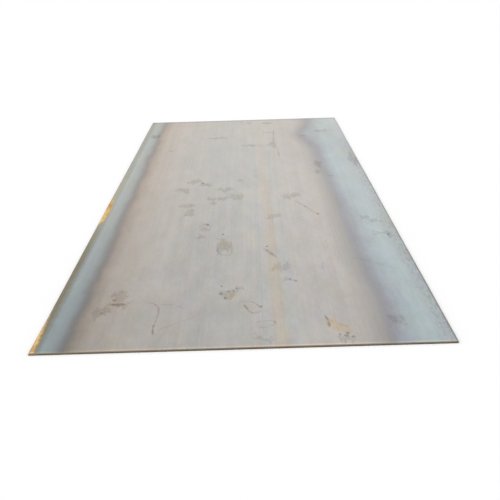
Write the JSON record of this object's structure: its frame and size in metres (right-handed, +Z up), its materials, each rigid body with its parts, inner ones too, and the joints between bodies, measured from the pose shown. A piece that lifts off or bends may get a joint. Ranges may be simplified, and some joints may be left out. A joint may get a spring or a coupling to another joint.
{
  "type": "steel plate",
  "caption": "Flat rectangular hot-rolled steel plate with rounded mill edges along its length and sheared ends, covered in pale grey mill scale with smudges and edge rust.",
  "frame": {"origin": "centre of the underside, on the surface that the plate lies on", "axes": "+Y along the plate's length, which is the direction it was rolled in, towards its tail end; +X across its width; +Z up out of its top face"},
  "size_m": [1.5, 6, 0.008],
  "materials": {
    "mill_scale": "satin pale grey mill scale, as rolled"
  },
  "bodies": {
    "root": {"steel_plate": "mill_scale"}
  },
  "joints": []
}
